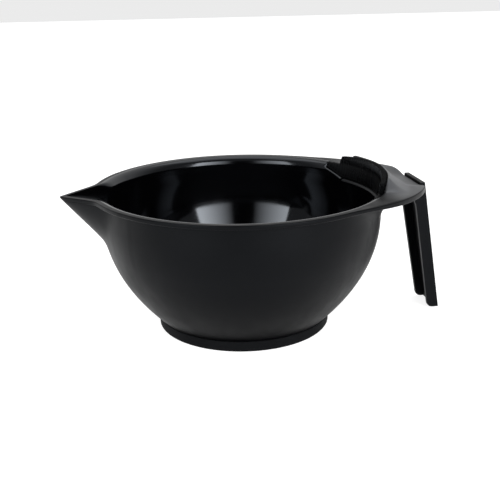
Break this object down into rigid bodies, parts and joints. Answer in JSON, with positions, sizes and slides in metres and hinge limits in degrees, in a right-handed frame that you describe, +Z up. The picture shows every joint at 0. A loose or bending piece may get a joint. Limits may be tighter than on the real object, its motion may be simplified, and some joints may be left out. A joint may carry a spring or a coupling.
{
  "type": "hair colour mixing bowl",
  "caption": "Salon bowl with a flanged rim, pouring lip, brush-wiping comb and brush ramp, drop handle and rubber foot",
  "frame": {"origin": "on the bowl's axis, in the plane of the rubber foot's underside that it stands on", "axes": "+X from the axis towards the handle, with the pouring lip at -X; +Z up; +Y completes the frame"},
  "size_m": [0.1897, 0.145, 0.0774],
  "materials": {
    "bowl_plastic": "satin black moulding, glossier inside",
    "handle_plastic": "satin black moulding",
    "comb_plastic": "semi-gloss black moulding",
    "foot_rubber": "dull black rubber"
  },
  "bodies": {
    "root": {"bowl_shell": "bowl_plastic", "handle": "handle_plastic", "brush_comb": "comb_plastic", "rubber_foot": "foot_rubber"}
  },
  "joints": []
}
